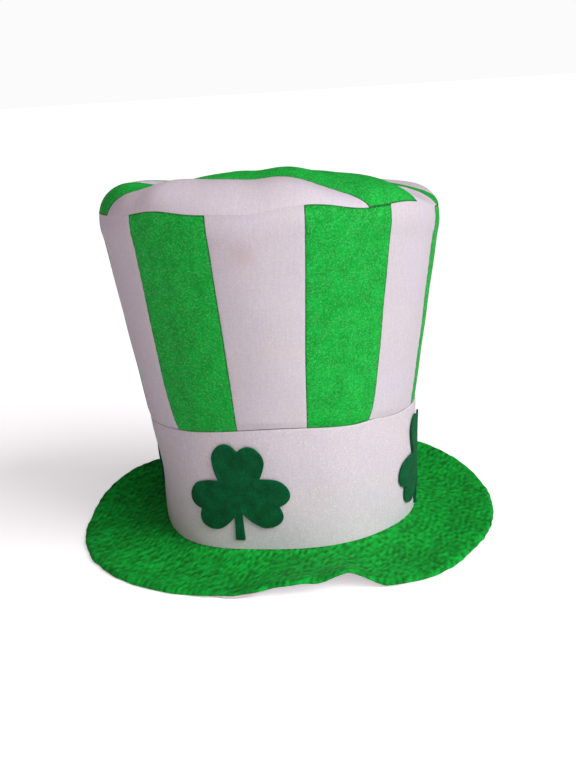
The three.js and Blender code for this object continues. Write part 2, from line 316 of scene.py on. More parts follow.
# The shamrock: its leaves, the curve of half a leaf, and where the four of them sit
leaves = [
    {"turn": -5, "reach": 0.468, "half_width": 0.272},
    {"turn": 116, "reach": 0.468, "half_width": 0.264},
    {"turn": -109, "reach": 0.468, "half_width": 0.264},
]
leaf_curve = [
    {"across": 0, "out": -0.06},
    {"across": 0.575, "out": -0.05},
    {"across": 0.99, "out": 0.44},
    {"across": 1, "out": 0.74},
    {"across": 1, "out": 0.93},
    {"across": 0.49, "out": 1.29},
    {"across": 0, "out": 0.94},
]
shamrocks = [
    {"side": "front", "at": -1.2, "raise": 0},
    {"side": "right", "at": 94.5, "raise": -0.06},
    {"side": "back", "at": 180, "raise": 0},
    {"side": "left", "at": 267, "raise": 0},
]

# Faint stains on the front white panel: the angle, height, reach and strength of each, and how far out they
# lie as a share of the way from the band's radius to the rim's
stain_out = 0.9
stains = [
    {"angle": 10.4, "height": 213.5, "reach": 11, "tone": 0.3},
    {"angle": 1.2, "height": 220.3, "reach": 8, "tone": 0.12},
]


def mix(start, end, share):
    return start + (end - start) * share


def hump(away):
    """A squared cosine, which is 1 at the middle and 0 from one reach away."""
    return np.cos(np.minimum(away, 1) * np.pi / 2) ** 2


def angle_between(angle, other):
    return np.abs((angle - other + full_turn + half_turn) % full_turn - half_turn)


def wave_at(waves, angle, column="lift"):
    """Sum over the table of a column's value times a hump about the wave's middle."""
    total = np.zeros_like(angle, dtype=float)
    for row in waves:
        total += row[column] * hump(angle_between(angle, row["at"]) / row["reach"])
    return total


def place(angle, radius, height):
    """Points of the hat from their angle round it, their distance from its axis and their height."""
    turn = np.radians(angle)
    x = crown_axis[0] + radius * np.sin(turn)
    y = crown_axis[1] - radius * np.cos(turn)
    return np.stack(np.broadcast_arrays(x, y, height), axis=-1)


def relief(points, pitch, seed, waves=9):
    """Smooth random relief from about -1 to 1: the sum of sine waves that run in random ways."""
    draw = np.random.default_rng(seed)
    ways = draw.normal(size=(waves, 3))
    ways /= np.linalg.norm(ways, axis=1, keepdims=True) * pitch * draw.uniform(*relief_lengths, (waves, 1))
    phases = draw.uniform(0, 2 * np.pi, waves)
    return np.sin(2 * np.pi * points @ ways.T + phases).sum(axis=-1) * relief_scale / np.sqrt(waves)


def pucker(points, along, seam_away, seed):
    """Puckers beside a seam: a sine along it whose phase wanders, fading out as the squared way from it."""
    phase = pucker_wander * relief(points, pucker_wander_pitch, seed=seed)
    ripple = np.sin(2 * np.pi * along / pucker_pitch + phase)
    return pucker_height * np.clip(1 - seam_away / pucker_reach, 0, 1) ** 2 * ripple


def seam_valley(seam_away):
    return seam_valley_depth * np.clip(1 - seam_away / seam_valley_width, 0, 1) ** 2


def ridge_at(ridge, angle, height, radius):
    """Rise of a soft ridge: a bell over the way round the hat from the line through its places."""
    line = np.interp(height, ridge["heights"], ridge["angles"])
    away = np.radians(angle - line) * radius / ridge["width"]
    return ridge["rise"] * np.exp(-away ** 2)


def close_edges(outer, inner, share, sink):
    """Brings both faces of a cloth together along its border, as a quarter ellipse over the share given.

    They meet under the outer face by a share sink of the thickness.
    """
    full = np.sqrt(1 - (1 - np.clip(share, 0, 1)) ** 2)[..., None]
    meeting = mix(outer, inner, sink)
    return mix(meeting, outer, full), mix(meeting, inner, full)


def spaced(length, step, roll):
    """Places along a length: even steps, and closer ones inside the rolled edge at each end."""
    edge = roll * np.array(roll_places)
    steps = max(2, round((length - 2 * roll) / step))
    inside = np.linspace(roll, length - roll, steps + 1)
    return np.concatenate([edge, inside, length - edge[::-1]])


def build_mesh(name, points, groups, spreads, marks):
    """A smooth mesh from points in millimetres, groups of faces with as many corners each, and their UVs.

    marks are named values of each point that the materials read.
    """
    used, corners = np.unique(np.concatenate([group.ravel() for group in groups]), return_inverse=True)
    sizes = np.concatenate([np.full(len(group), group.shape[1]) for group in groups])
    mesh = bpy.data.meshes.new(name)
    mesh.vertices.add(len(used))
    mesh.vertices.foreach_set("co", (points[used] * mm).astype(np.float32).ravel())
    mesh.loops.add(len(corners))
    mesh.loops.foreach_set("vertex_index", corners.astype(np.int32).ravel())
    mesh.polygons.add(len(sizes))
    mesh.polygons.foreach_set("loop_start", (np.cumsum(sizes) - sizes).astype(np.int32))
    mesh.polygons.foreach_set("use_smooth", np.ones(len(sizes), bool))
    layer = mesh.uv_layers.new(name="cloth")
    flat = np.concatenate([spread.reshape(-1, 2) for spread in spreads]) * mm
    layer.uv.foreach_set("vector", flat.astype(np.float32).ravel())
    for mark, values in marks.items():
        attribute = mesh.attributes.new(mark, "FLOAT", "POINT")
        attribute.data.foreach_set("value", values[used].astype(np.float32))
    mesh.update(calc_edges=True)
    mesh.validate()
    piece = bpy.data.objects.new(name, mesh)
    bpy.context.scene.collection.objects.link(piece)
    return piece


def sheet_piece(name, outer, inner, spread, marks, ring=False):
    """One closed sheet from two grids of points, its outer and inner face, which share their border.

    Rows run upwards or inwards and columns anticlockwise seen from outside. A ring joins its last column
    to its first. spread says where each point lies on the flat cloth, with one column more on a ring, and
    marks are named values of each point.
    """
    rows, columns = outer.shape[:2]
    front = np.arange(rows * columns).reshape(rows, columns)
    behind = front + rows * columns
    behind[[0, -1], :] = front[[0, -1], :]
    if not ring:
        behind[:, [0, -1]] = front[:, [0, -1]]
    steps = columns if ring else columns - 1
    row, column = np.meshgrid(np.arange(rows - 1), np.arange(steps), indexing="ij")
    ways = [(row, column), (row, column + 1), (row + 1, column + 1), (row + 1, column)]
    faces = []
    spreads = []
    for numbers, order in ((front, ways), (behind, ways[::-1])):
        faces.append(np.stack([numbers[r, c % columns] for r, c in order], axis=-1).reshape(-1, 4))
        spreads.append(np.stack([spread[r, c] for r, c in order], axis=-2))
    points = np.concatenate([outer.reshape(-1, 3), inner.reshape(-1, 3)])
    marks = {mark: np.tile(values.ravel(), 2) for mark, values in marks.items()}
    return build_mesh(name, points, faces, spreads, marks)


def finish_piece(piece, node, material):
    """Puts a piece in its node's place, with its cloth: hangs it under the root and hides the node's part.
    """
    piece.data.materials.append(material)
    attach(piece, "root")
    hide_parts(node)


def band_top(angle):
    return band_top_height + band_wave_height * wave_at(band_waves, angle)


def rim_top(angle):
    return rim_height + rim_wave_height * wave_at(rim_waves, angle)


def band_radius(share, angle):
    """Outer radius of the plain band, from its dented foot through its waist to its round top."""
    foot = band_foot_radius + foot_dent_depth * wave_at(foot_dents, angle)
    waist = band_waist * wave_at(waist_dents, angle) * np.sin(np.pi * share) ** 2
    return mix(foot, band_top_radius, share) + waist


def band_face(height, angle):
    """Outer radius of the band as worn: the plain band, slack in its cloth and the ridge on its left."""
    bottom = foot_height + seam_gap
    share = (height - bottom) / (band_top(angle) - bottom)
    radius = band_radius(share, angle)
    ridge = ridge_at(band_ridge, angle, height, radius)
    slack = slack_height * relief(place(angle, radius, height), slack_pitch, seed=3)
    inside = np.clip(share * (1 - share) * band_slack_rise, 0, 1)
    return radius + (ridge + slack) * inside


def strayed(angle, height):
    """Angle where the cloth of an angle lies at a height.

    Seams lean most at their foot and not at all at the rim, and single ones bow as well: low right over the
    band, fading upwards as an exponential, and in the middle as the squared sine of the root of the way up.
    """
    up = (height - foot_height) / (rim_top(angle) - foot_height)
    worn = np.clip((height - band_top(angle)) / (rim_top(angle) - band_top(angle)), 0, 1)
    low = wave_at(seam_bows, angle, "low") * np.exp(-worn / bow_fade)
    middle = wave_at(seam_bows, angle, "middle") * np.sin(np.pi * np.sqrt(worn)) ** 2
    return angle + foot_sway * wave_at(seam_sways, angle) * (1 - up) + low + middle


def hollow_at(angle, height):
    """How far the wall sinks in: each hollow is a hump across it times a hump up it."""
    total = np.zeros_like(angle)
    for row in wall_hollows:
        across = hump(angle_between(angle, row["angle"]) / row["across"])
        total += row["sink"] * across * hump(np.abs(height - row["height"]) / row["up"])
    return total


def crown_panel(index):
    """A wall panel between two seams.

    Its height and radius run linearly between the levels foot, band top, step, bulge, shoulder and rim.
    It puffs out as half a sine between its seams, sinks into a valley at each and puckers beside them.
    """
    lengths = np.array([
        band_top_height - foot_height,
        band_step_height,
        band_bulge_height - band_step_height,
        rim_height - band_top_height - band_bulge_height - cone_end_below_rim,
        cone_end_below_rim,
    ])
    marks = np.concatenate([[0], np.cumsum(lengths)])
    rows = np.union1d(spaced(marks[-1], fine_step, seam_roll), np.linspace(marks[1], marks[3], step_rows))
    levels = np.interp(rows, marks, np.arange(len(marks)))[:, None]
    mid_width = np.radians(panel_angle) * (band_top_radius + rim_radius) / 2
    across = (spaced(mid_width, fine_step, seam_roll) / mid_width)[None, :]
    cut_angle = (index + across) * panel_angle + np.zeros_like(levels)
    heights = [
        foot_height + seam_gap + np.zeros_like(cut_angle),
        band_top(cut_angle) + foot_rest,
        band_top(cut_angle) + foot_rest + band_step_height,
        band_top(cut_angle) + band_bulge_height,
        rim_top(cut_angle) - cone_end_below_rim,
        rim_top(cut_angle),
    ]
    weights = [np.maximum(0, 1 - np.abs(levels - number)) for number in range(len(heights))]
    height = sum(value * weight for value, weight in zip(heights, weights))
    angle = strayed(cut_angle, height)
    radii = [
        band_top_radius - behind_band,
        band_top_radius + band_step,
        band_top_radius + band_bulge,
        cone_top_radius,
        rim_radius,
    ]
    over_band = np.interp(levels, range(1, len(heights)), radii)
    behind = band_radius(np.minimum(levels, 1), angle) - behind_band
    radius = np.where(levels <= 1, behind, over_band)
    shown = np.clip((levels - 1) / 2, 0, 1)
    past_shoulder = np.clip(levels - 4, 0, 1)
    side = np.minimum(across, 1 - across) * np.radians(panel_angle) * radius
    points = place(angle, radius, height)
    outward = (
        panel_puff * np.sin(np.pi * across) * (1 - past_shoulder)
        + wall_dent_depth * wave_at(wall_dents, cut_angle)
        + ridge_at(wall_ridge, angle, height, radius)
        + pucker(points, height, side, seed=5)
        + slack_height * relief(points, slack_pitch, seed=8) * (1 - past_shoulder)
        - seam_valley(side)
        - hollow_at(angle, height)
    ) * shown
    below_rim = heights[-1] - height
    outward += shoulder_swell * np.sin(np.pi * past_shoulder) + welt_height * hump(below_rim / welt_width)
    edge = np.minimum.reduce([side, below_rim + np.zeros_like(side), height - heights[0]]) / seam_roll
    outer = place(angle, radius + outward, height)
    inner = place(angle, radius + outward - crown_cloth, height)
    outer, inner = close_edges(outer, inner, edge, seam_sink)
    spread = np.stack([(across - 0.5) * mid_width + np.zeros_like(height), height], axis=-1)
    seam_away = np.minimum(side, below_rim)
    piece = sheet_piece(f"wall_cloth_{index + 1:02d}", outer, inner, spread, {"seam_away": seam_away})
    white = index % 2 == 0
    finish_piece(
        piece, f"crown_panel_{index + 1:02d}",
        white_cloth if white else glitter_velour,
    )


def loose_height(across, along, number):
    """Height of the top's cloth over the rim before it rounds down, at shares of its radius both ways.

    Each strip rises from its seams to its ridge as half a sine, dents sink in as humps, and the back falls.
    """
    swell = np.sin(np.pi * np.clip((across + 1) / 2 * stripe_count - number, 0, 1))
    dent = np.zeros_like(across)
    for row in top_dents:
        dent += row["depth"] * hump(np.hypot(across - row["across"], along - row["along"]) / row["reach"])
    fall = 1 - top_back_fall * (1 - (1 - np.maximum(across, 0)) ** 2)
    return top_seam_height * (1 + top_strips[number]["ridge"] * swell - dent) * fall


def top_angle(across, along):
    """Angle round the hat of a place on the top."""
    return np.degrees(np.arctan2(along, -across)) + stripe_turn


def top_face(across, along, inset, number, seam_away):
    """A face of the top at an inset from the outer one, at places across the strips and along them.

    Its height rounds down to the rim as one less a power of the way out. Soft folds push it outwards where
    it is steep, and it sinks into the seams with a few puckers.
    """
    edge_radius = rim_radius - inset
    out = np.minimum(np.hypot(across, along) / edge_radius, 1)
    angle = top_angle(across, along)
    rim = mix(rim_height, rim_top(angle), out)
    rounding = (1 - out ** (top_fullness - top_fullness_lean * along / edge_radius)) ** top_edge_power
    loose = loose_height(across / edge_radius, along / edge_radius, number)
    height = rim + (loose - inset) * rounding
    fold = top_fold_height * wave_at(top_folds, angle) * np.sin(np.pi * np.minimum(rounding, 1))
    welt = welt_height * hump((height - rim) / welt_width)
    dent = wall_dent_depth * wave_at(wall_dents, angle)
    radius = np.hypot(across, along) + dent * out + fold + welt * out
    points = place(angle, radius, height)
    inside = np.clip((1 - out) * top_slack_rise, 0, 1)
    rise = (
        slack_height * relief(points, slack_pitch, seed=13)
        + pucker(points, along, seam_away, seed=15)
        - seam_valley(seam_away)
    ) * inside
    return place(angle, radius, height + rise)


def top_stripe(number):
    """A strip of the puffed top: the first and last are crescents, the others run between two seams."""
    width = 2 * rim_radius / stripe_count
    near = -rim_radius + width * number
    far = near + width
    first = number == 0
    last = number == stripe_count - 1
    seam = far if first else near
    tip_angle = np.arccos((abs(seam) + crescent_tip) / rim_radius)
    share = (spaced(width, fine_step, seam_roll) / width)[:, None]
    column = np.linspace(-1, 1, stripe_columns + 1)[None, :]
    faces = []
    for inset in (0, top_cloth):
        edge_radius = rim_radius - inset
        if first or last:
            along = edge_radius * np.sin(column * tip_angle) + np.zeros_like(share)
            edge = edge_radius * np.cos(column * tip_angle)
            across = mix(-edge, seam, share) if first else mix(seam, edge, share)
            seam_away = np.abs(across - seam)
        else:
            across = mix(near, far, share) + np.zeros_like(column)
            along = np.sqrt(edge_radius ** 2 - across ** 2) * np.sin(column * np.pi / 2)
            seam_away = np.minimum(across - near, far - across)
        faces.append(top_face(across, along, inset, number, seam_away))
        if inset == 0:
            above_rim = faces[0][..., 2] - rim_top(top_angle(across, along))
            border_away = np.minimum(seam_away, above_rim)
            spread = np.stack([along, across], axis=-1)
            outer_seam_away = seam_away
    grid_away = np.minimum(outer_seam_away, rim_radius - np.hypot(*np.moveaxis(spread, -1, 0)))
    grid_away[[0, -1], :] = 0
    grid_away[:, [0, -1]] = 0
    outer, inner = close_edges(*faces, grid_away / seam_roll, seam_sink)
    marks = {"seam_away": np.maximum(border_away, 0)}
    piece = sheet_piece(f"top_cloth_{number + 1}", outer, inner, spread, marks)
    white = top_strips[number]["colour"] == "white"
    finish_piece(
        piece, f"top_stripe_{number + 1}",
        white_cloth if white else glitter_velour,
    )


def hat_band():
    """The band is a ring: the worn band's face outside, and the plain band's less a cloth inside."""
    bottom = foot_height + foot_rest
    tall = band_top_height - bottom
    share = (spaced(tall, band_row_step, fold_roll) / tall)[:, None]
    angle = (np.arange(ring_columns) * full_turn / ring_columns)[None, :] + np.zeros_like(share)
    height = mix(bottom, band_top(angle), share)
    outer = place(angle, band_face(height, angle), height)
    inner = place(angle, band_radius(share, angle) - band_cloth, height)
    edge = np.minimum((height - bottom) / cut_roll, (band_top(angle) - height) / fold_roll)
    outer, inner = close_edges(outer, inner, edge, cut_sink)
    round_it = np.radians(np.arange(ring_columns + 1) * full_turn / ring_columns) * band_top_radius
    spread = np.stack(np.broadcast_arrays(round_it[None, :], share * band_top_height), axis=-1)
    piece = sheet_piece("band_cloth", outer, inner, spread, {}, ring=True)
    finish_piece(
        piece, "hat_band", band_white_cloth,
    )


def brim_radius(angle):
    """Outline of the brim: round, but for where it was cut wider or narrower, and for unsteady scissors."""
    plain = brim_mean_radius + brim_bulge * wave_at(brim_bulges, angle)
    return plain + brim_cut_error * relief(place(angle, plain, 0), brim_cut_pitch, seed=23)


def underside_height(share, angle):
    """Height of the lower face: it slopes from the band to the table, and lifts where the edge waves."""
    slope = np.maximum(0, 1 - share / brim_touch_share) ** 2
    lift = np.maximum(0, brim_lift * wave_at(brim_waves, angle) - brim_settle)
    return (foot_height - brim_stack) * slope + lift * share ** brim_lift_power


def brim_layer(name, node, material, above, cloth, upper_layer):
    """A layer of the brim is a ring from under the crown to its outline, with both faces a cloth apart.

    The lower layer ends a hem short of the outline, and the upper one rolls down over it, but for the lips,
    where the lower one looks out. The nap of the upper face is a fine random relief.
    """
    angle = (np.arange(brim_columns) * full_turn / brim_columns)[None, :]
    foot = band_radius(0, angle)
    inner_radius = foot - behind_band - crown_cloth
    lip = np.minimum(wave_at(brim_lips, angle), 1)
    outline = brim_radius(angle)
    if not upper_layer:
        outline = outline - brim_hem * (1 - lip)
    width = brim_mean_radius - band_foot_radius + behind_band + crown_cloth
    step = brim_step if upper_layer else fine_step
    place_out = (spaced(width, step, cut_roll) / width)[:, None]
    radius = mix(inner_radius, outline, place_out)
    land = foot + brim_land_width
    share = np.clip((radius - land) / (brim_radius(angle) - land), 0, brim_share_end)
    angle = angle + np.zeros_like(share)
    flat_points = place(angle, radius, 0)
    small_slack = brim_slack_share * relief(flat_points, brim_slack_pitch, seed=22)
    slack = slack_height * (relief(flat_points, slack_pitch, seed=21) + small_slack)
    low = np.maximum(underside_height(share, angle) + slack * share, 0) + above
    nap = np.zeros_like(low)
    if upper_layer:
        low -= (above - seam_gap) * (1 - lip) * hump((outline - radius) / brim_hem_roll)
        nap = relief(flat_points * nap_way, nap_pitch, seed=24, waves=nap_waves)
    edge = np.minimum(radius - inner_radius, outline - radius) / cut_roll
    high = low + cloth + nap_height * nap * np.minimum(edge, 1)
    lower, upper = close_edges(place(angle, radius, low), place(angle, radius, high), edge, cut_sink)
    wrapped = np.concatenate([flat_points, flat_points[:, :1]], axis=1)
    piece = sheet_piece(name, lower, upper, wrapped[..., :2], {"nap": nap}, ring=True)
    finish_piece(
        piece, node, material,
    )


def bezier(start, first, second, end):
    """Points of a cubic Bezier curve, with its end left out."""
    t = np.linspace(0, 1, curve_places, endpoint=False)[:, None]
    leaving = (1 - t) ** 3 * start + 3 * (1 - t) ** 2 * t * first
    return leaving + 3 * (1 - t) * t ** 2 * second + t ** 3 * end


def leaf_outline(leaf):
    """Outline of a heart-shaped leaf about the shamrock's middle: two curves to its notch, and back."""
    size = np.array([leaf["half_width"], leaf["reach"]]) * shamrock_width
    half = np.array([[row["across"], row["out"]] for row in leaf_curve]) * size
    mirrored = half[::-1] * np.array([-1, 1])
    curves = [bezier(*points[start:start + 4]) for points in (half, mirrored) for start in (0, 3)]
    turn = np.radians(leaf["turn"])
    spin = np.array([[np.cos(turn), np.sin(turn)], [-np.sin(turn), np.cos(turn)]])
    return np.concatenate(curves) @ spin


def stem_outline():
    """Sides and foot of the stem, which widens a little downwards."""
    half = stem_width / 2
    foot = shamrock_height - leaves[0]["reach"] * shamrock_width
    corners = np.array([[-stem_neck * half, 0], [-half, -foot], [half, -foot], [stem_neck * half, 0]])
    share = np.linspace(0, 1, stem_places)[:, None]
    return np.concatenate([mix(corners[side], corners[side + 1], share) for side in range(3)])


def shamrock(row):
    """A felt shamrock on the band.

    Its outline is the farthest of its leaves' and stem's outlines each way from its middle. The felt runs
    from its middle out to that outline, rolls over its cut edge, and runs back to the middle behind.
    """
    down = -np.pi / 2
    way = np.unique(np.concatenate([
        np.linspace(-np.pi, np.pi, leaf_columns, endpoint=False),
        down + np.radians(np.linspace(-stem_half_angle, stem_half_angle, stem_columns)),
    ]))
    reach = np.zeros_like(way)
    for outline in [leaf_outline(leaf) for leaf in leaves] + [stem_outline()]:
        turn = np.arctan2(outline[:, 1], outline[:, 0])
        order = np.argsort(turn)
        distance = np.hypot(*outline.T)
        reach = np.maximum(reach, np.interp(way, turn[order], distance[order], period=2 * np.pi))
    out = np.concatenate([np.linspace(0, leaf_inner_share, leaf_rings)[1:], leaf_rim_places])
    share = np.concatenate([out, out[-2::-1]])[:, None]
    side = np.concatenate([np.ones(len(out) - 1), [0], -np.ones(len(out) - 1)])[:, None]
    away = (1 - share) * reach / (felt / 2)
    roll = np.sqrt(1 - (1 - np.clip(away, 0, 1)) ** 2)
    across = share * reach * np.cos(way)
    up = share * reach * np.sin(way)
    height = shamrock_centre_height + row["raise"] * shamrock_height + up
    round_it = np.degrees(np.arcsin(across / band_face(height, row["at"] + 0 * across)))
    angle = row["at"] + round_it
    flat_points = np.stack([across, up, 0 * up], axis=-1)
    lifted = felt_lift * share ** felt_lift_power * (1 + relief(flat_points, felt_lift_pitch, seed=31))
    fluff = felt_fluff * relief(flat_points, felt_fluff_pitch, seed=32)
    above = seam_gap + felt / 2 + lifted + side * roll * (felt / 2 + fluff)
    shell = place(angle, band_face(height, angle) + above, height)
    middles = [row_points.mean(axis=0) for row_points in (shell[0], shell[-1])]
    rings, columns = shell.shape[:2]
    numbers = np.arange(rings * columns).reshape(rings, columns)
    after = np.roll(numbers, -1, axis=1)
    quads = np.stack([numbers[:-1], numbers[1:], after[1:], after[:-1]], axis=-1).reshape(-1, 4)
    centre = rings * columns
    front = np.stack([np.full(columns, centre), numbers[0], after[0]], axis=-1)
    back = np.stack([np.full(columns, centre + 1), after[-1], numbers[-1]], axis=-1)
    spread = np.concatenate([np.stack([across, up], axis=-1).reshape(-1, 2), np.zeros((2, 2))])
    points = np.concatenate([shell.reshape(-1, 3), middles])
    groups = [quads, front, back]
    spreads = [spread[group] for group in groups]
    piece = build_mesh(f"felt_shamrock_{row['side']}", points, groups, spreads, {})
    finish_piece(
        piece, f"shamrock_{row['side']}", craft_felt,
    )


def linear(code):
    """A colour for Blender from its sRGB hex value."""
    part = np.array([int(code[start:start + 2], 16) for start in (1, 3, 5)]) / 255
    value = np.where(part <= 0.04045, part / 12.92, ((part + 0.055) / 1.055) ** 2.4)
    return (*value.tolist(), 1)


def add(tree, kind, settings=None, inputs=None):
    """Adds a node of that kind with its settings, and fills its inputs with values or other outputs."""
    node = tree.nodes.new(kind)
    for name, value in (settings or {}).items():
        setattr(node, name, value)
    for name, value in (inputs or {}).items():
        if isinstance(value, bpy.types.NodeSocket):
            tree.links.new(value, node.inputs[name])
        else:
            node.inputs[name].default_value = value
    return node


def new_material(name):
    """An empty material, its tree, and the shader that its look ends in."""
    material = bpy.data.materials.new(name)
    material.use_nodes = True
    tree = material.node_tree
    tree.nodes.clear()
    shader = add(tree, "ShaderNodeBsdfPrincipled")
    add(tree, "ShaderNodeOutputMaterial", inputs={"Surface": shader.outputs["BSDF"]})
    return material, tree, shader


def blended(tree, share, first, second, blend="MIX"):
    """The output of a colour mix: first where share is 0 and second where it is 1."""
    settings = {"data_type": "RGBA", "blend_type": blend}
    return add(tree, "ShaderNodeMix", settings, {0: share, 6: first, 7: second}).outputs[2]


def spread_over(tree, value, low, high, start=0.0, end=1.0):
    """The value, stretched so that low becomes start and high becomes end."""
    inputs = {"Value": value, "From Min": low, "From Max": high, "To Min": start, "To Max": end}
    return add(tree, "ShaderNodeMapRange", {"clamp": True}, inputs).outputs[0]


def times(tree, first, second):
    return add(tree, "ShaderNodeMath", {"operation": "MULTIPLY"}, {0: first, 1: second}).outputs[0]


def specks(tree, vector, pitch, kept, size):
    """How bright each glitter fleck is, fading from its middle, and a random number of its own."""
    cells = add(tree, "ShaderNodeTexVoronoi", {}, {"Vector": vector, "Scale": 1 / (pitch * mm)})
    chances = add(tree, "ShaderNodeSeparateColor", {}, {"Color": cells.outputs["Color"]})
    lit = spread_over(tree, chances.outputs[0], 1 - kept, 1 - kept * 0.3)
    near = spread_over(tree, cells.outputs["Distance"], size, size * 0.4)
    return times(tree, lit, near), chances.outputs[1]


def noise(tree, vector, pitch, detail=2.0, rough=0.5):
    """Cloudy noise whose clouds are about pitch millimetres apart."""
    inputs = {"Vector": vector, "Scale": 1 / (pitch * mm), "Detail": detail, "Roughness": rough}
    return add(tree, "ShaderNodeTexNoise", {}, inputs).outputs[0]


def mark_value(tree, mark):
    """The value of a named mark of the mesh, in millimetres where it is a length."""
    return add(tree, "ShaderNodeAttribute", {"attribute_name": mark}).outputs["Fac"]


def shaded(tree, colour, value, low, high, dark):
    """The colour, multiplied by dark where the value is low and left as it is where it is high."""
    share = spread_over(tree, value, low, high)
    return blended(tree, 1.0, colour, blended(tree, share, linear(dark), linear("#ffffff")), "MULTIPLY")


def set_sheen(shader, weight, roughness, tint):
    shader.inputs["Sheen Weight"].default_value = weight
    shader.inputs["Sheen Roughness"].default_value = roughness
    shader.inputs["Sheen Tint"].default_value = linear(tint)


def set_bump(tree, shader, strength, distance, height):
    inputs = {"Strength": strength, "Distance": distance * mm, "Height": height}
    bump = add(tree, "ShaderNodeBump", {}, inputs)
    tree.links.new(bump.outputs["Normal"], shader.inputs["Normal"])


# Short velour with lurex: tiny light flecks, partly the thread's own colour and partly painted glints, on a
# deep, slightly mottled green, with painted shade darkening it close to the seams
def glitter_velour_material():
    material, tree, shader = new_material("glitter_velour")
    spot = add(tree, "ShaderNodeTexCoord").outputs["Object"]
    pile = noise(tree, spot, pitch=1.5, detail=3.0, rough=0.65)
    base = blended(tree, spread_over(tree, pile, 0.3, 0.7), linear("#00a02c"), linear("#00d048"))
    base = shaded(tree, base, noise(tree, spot, pitch=9.0), low=0.35, high=0.65, dark="#dfe6df")
    # Painted shade: the green is darkened within about a millimetre of each seam, where the cloth turns in
    base = shaded(tree, base, mark_value(tree, "seam_away"), low=0.1, high=1.3, dark="#7a8c7a")
    # Painted glints: the lurex flecks lighten the base colour, partly their own colour and partly painted
    # glints
    fleck = specks(tree, spot, pitch=0.85, kept=0.5, size=0.7)[0]
    colour = blended(tree, times(tree, fleck, 0.3), base, linear("#84e898"))
    tree.links.new(colour, shader.inputs["Base Color"])
    matt = spread_over(tree, fleck, low=0, high=1, start=0.8, end=0.4)
    tree.links.new(matt, shader.inputs["Roughness"])
    shader.inputs["Specular IOR Level"].default_value = 0.3
    set_sheen(shader, weight=0.1, roughness=0.4, tint="#30e060")
    set_bump(tree, shader, strength=0.5, distance=0.4, height=pile)
    return material


# Crushed velour: the nap lies different ways in tufts a few millimetres wide, with a painted highlight on
# their tips and painted shade between them, and wider clouds run over them
def crushed_velour_material():
    material, tree, shader = new_material("crushed_velour")
    spot = add(tree, "ShaderNodeTexCoord").outputs["Object"]
    nap = mark_value(tree, "nap")
    pile = noise(tree, spot, pitch=1.5, detail=2.0, rough=0.6)
    # Painted light and shade: the colour follows the nap relief, lighter on the tufts' tips and darker
    # between them
    base = blended(tree, spread_over(tree, nap, -0.9, 0.9), linear("#008a24"), linear("#00d848"))
    base = shaded(tree, base, pile, low=0.3, high=0.7, dark="#c4ccc4")
    base = shaded(tree, base, noise(tree, spot, pitch=28.0), low=0.35, high=0.65, dark="#d8e0d8")
    tree.links.new(base, shader.inputs["Base Color"])
    shader.inputs["Roughness"].default_value = 0.85
    shader.inputs["Specular IOR Level"].default_value = 0.25
    set_sheen(shader, weight=0.1, roughness=0.4, tint="#30e060")
    set_bump(tree, shader, strength=0.6, distance=0.5, height=pile)
    return material


# Satin-backed cloth with a fine metallic thread: lavender white, faint upright threads, and a shimmer of
# tiny pink and yellow flecks, partly the thread's own colour and partly painted glints, stronger on the
# band; one panel is faintly stained
def white_cloth_material(name, shimmer):
    material, tree, shader = new_material(name)
    coordinates = add(tree, "ShaderNodeTexCoord")
    spot = coordinates.outputs["Object"]
    flat = add(tree, "ShaderNodeMapping", {}, {"Vector": coordinates.outputs["UV"], "Scale": (1, 0.12, 1)})
    thread = noise(tree, flat.outputs[0], pitch=1.4)
    grain = noise(tree, spot, pitch=1.3, rough=0.6)
    cloud = spread_over(tree, noise(tree, spot, pitch=34.0), 0.35, 0.65)
    base = blended(tree, cloud, linear("#e4dbe1"), linear("#e2dbe6"))
    base = shaded(tree, base, thread, low=0.3, high=0.7, dark="#f9f8f9")
    base = shaded(tree, base, grain, low=0.3, high=0.7, dark="#f4f2f4")
    stain_radius = band_top_radius + (rim_radius - band_top_radius) * stain_out
    for row in stains:
        middle = place(row["angle"], stain_radius, row["height"]) * mm
        away = add(tree, "ShaderNodeVectorMath", {"operation": "DISTANCE"}, {0: spot, 1: middle.tolist()})
        distance = away.outputs["Value"]
        mask = spread_over(tree, distance, low=row["reach"] * mm, high=0, start=0, end=row["tone"])
        base = blended(tree, mask, base, linear("#c9a8a0"))
    # Painted glints: the flecks lighten the base colour towards pink and yellow, partly the thread's own
    # colour
    fleck, chance = specks(tree, spot, pitch=1.0, kept=0.35, size=0.55)
    tint = blended(tree, spread_over(tree, chance, 0.35, 0.65), linear("#ffdcee"), linear("#f4fbe4"))
    colour = blended(tree, times(tree, fleck, shimmer), base, tint)
    tree.links.new(colour, shader.inputs["Base Color"])
    matt = spread_over(tree, fleck, low=0, high=1, start=0.7, end=0.4)
    tree.links.new(matt, shader.inputs["Roughness"])
    shader.inputs["Specular IOR Level"].default_value = 0.3
    set_sheen(shader, weight=0.08, roughness=0.5, tint="#ffffff")
    set_bump(tree, shader, strength=0.12, distance=0.2, height=thread)
    return material


# Plain white cotton backing of the brim, soft and matt
def backing_cloth_material():
    material, tree, shader = new_material("backing_cloth")
    spot = add(tree, "ShaderNodeTexCoord").outputs["Object"]
    grain = noise(tree, spot, pitch=1.4, rough=0.6)
    base = blended(tree, spread_over(tree, grain, 0.3, 0.7), linear("#dccfda"), linear("#ece2ea"))
    tree.links.new(base, shader.inputs["Base Color"])
    shader.inputs["Roughness"].default_value = 0.9
    set_bump(tree, shader, strength=0.3, distance=0.2, height=grain)
    return material


